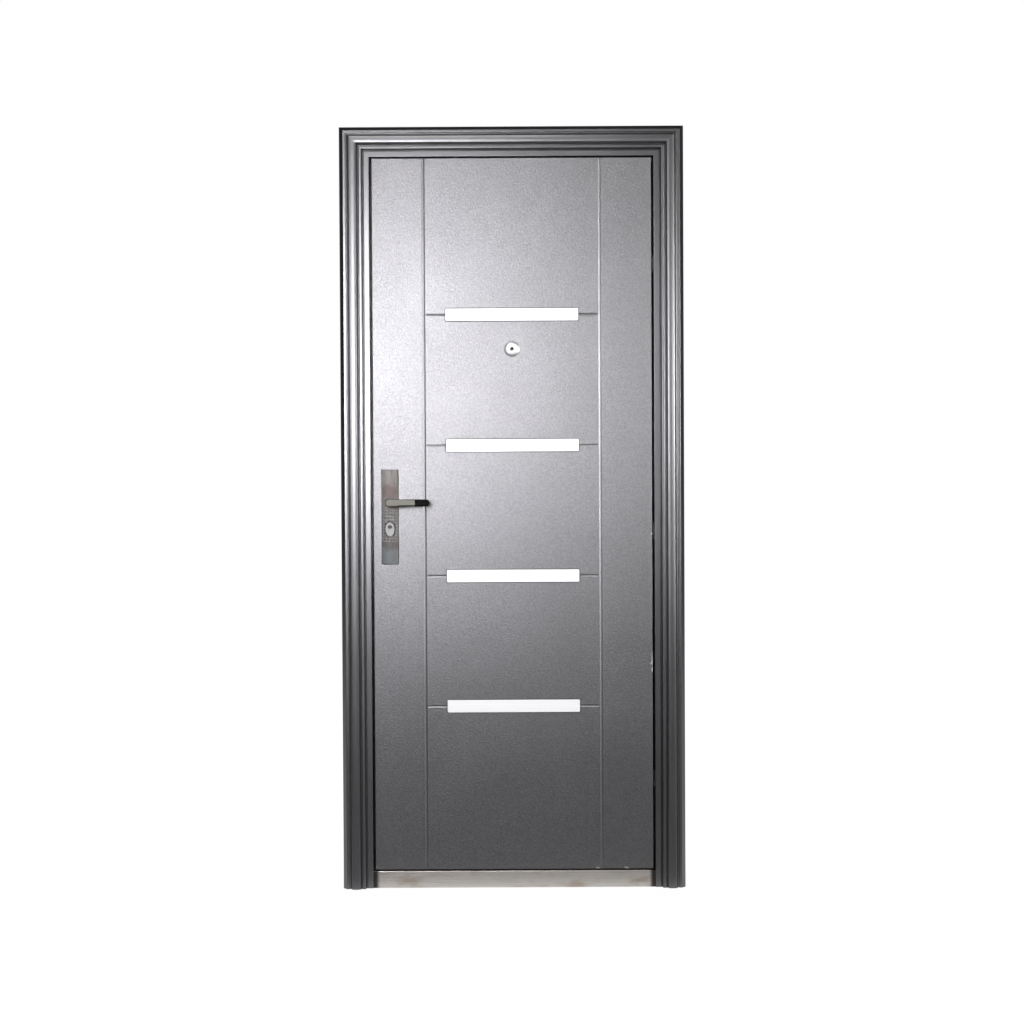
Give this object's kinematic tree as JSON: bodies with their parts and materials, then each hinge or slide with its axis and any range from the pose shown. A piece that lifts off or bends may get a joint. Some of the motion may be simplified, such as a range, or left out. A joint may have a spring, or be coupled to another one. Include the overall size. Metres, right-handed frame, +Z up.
{
  "type": "metal door",
  "caption": "Steel entrance door with moulded frame, pressed leaf with bright strips, viewer, lever lock and steel threshold.",
  "frame": {"origin": "middle of the threshold's underside on the floor, in the plane of the wall face", "axes": "+Z up, +X to the right seen from outside, -Y toward the outside"},
  "size_m": [0.96, 0.146, 2.13],
  "materials": {
    "frame_paint": "charcoal metallic paint, semi-gloss",
    "leaf_paint": "charcoal metallic paint, fine orange-peel",
    "stainless_sill": "brushed stainless, worn",
    "strip_aluminium": "bright satin",
    "chrome_trim": "polished",
    "satin_nickel": "satin nickel",
    "black_grip": "black gloss",
    "lens_glass": "clear",
    "seal_rubber": "matte",
    "hinge_steel": "zinc-plated, dull",
    "lock_steel": "brushed",
    "core_filler": "matte"
  },
  "bodies": {
    "frame": {"lock_jamb": "frame_paint", "hinge_jamb": "frame_paint", "head": "frame_paint", "threshold": "stainless_sill", "seal_lock_side": "seal_rubber", "seal_hinge_side": "seal_rubber", "seal_head": "seal_rubber", "seal_threshold": "seal_rubber", "strike_plate": "lock_steel", "hinge_bracket_low": "hinge_steel", "hinge_pin_low": "hinge_steel", "hinge_bracket_mid": "hinge_steel", "hinge_pin_mid": "hinge_steel", "hinge_bracket_high": "hinge_steel", "hinge_pin_high": "hinge_steel"},
    "leaf": {"leaf_front_skin": "leaf_paint", "leaf_back_skin": "leaf_paint", "leaf_core": "core_filler", "trim_strip_1": "strip_aluminium", "trim_strip_2": "strip_aluminium", "trim_strip_3": "strip_aluminium", "trim_strip_4": "strip_aluminium", "viewer_bezel": "chrome_trim", "viewer_lens": "lens_glass", "viewer_barrel": "chrome_trim", "viewer_inner_ring": "chrome_trim", "lock_forend": "lock_steel", "latch_bolt": "lock_steel", "dead_bolts": "lock_steel", "outer_escutcheon": "satin_nickel", "inner_escutcheon": "satin_nickel", "cylinder_guard": "chrome_trim", "lock_cylinder": "chrome_trim", "key_plug": "chrome_trim", "thumb_turn": "satin_nickel", "hinge_arm_low": "hinge_steel", "hinge_arm_mid": "hinge_steel", "hinge_arm_high": "hinge_steel"},
    "lever": {"lever_spindle": "hinge_steel", "outer_lever": "satin_nickel", "outer_lever_tip": "black_grip", "inner_lever": "satin_nickel", "inner_lever_tip": "black_grip"}
  },
  "joints": [
    {"name": "leaf_hinge", "type": "hinge", "parent": "frame", "child": "leaf", "pos_m": [0.422, -0.003, 0], "axis": [0, 0, 1], "range_deg": [0, 90]},
    {"name": "lever_turn", "type": "hinge", "parent": "leaf", "child": "lever", "pos_m": [-0.343, 0, 1.082], "axis": [0, 1, 0], "range_deg": [0, 45], "stiffness_Nm_per_rad": 1.5, "springref_deg": -20.05}
  ]
}
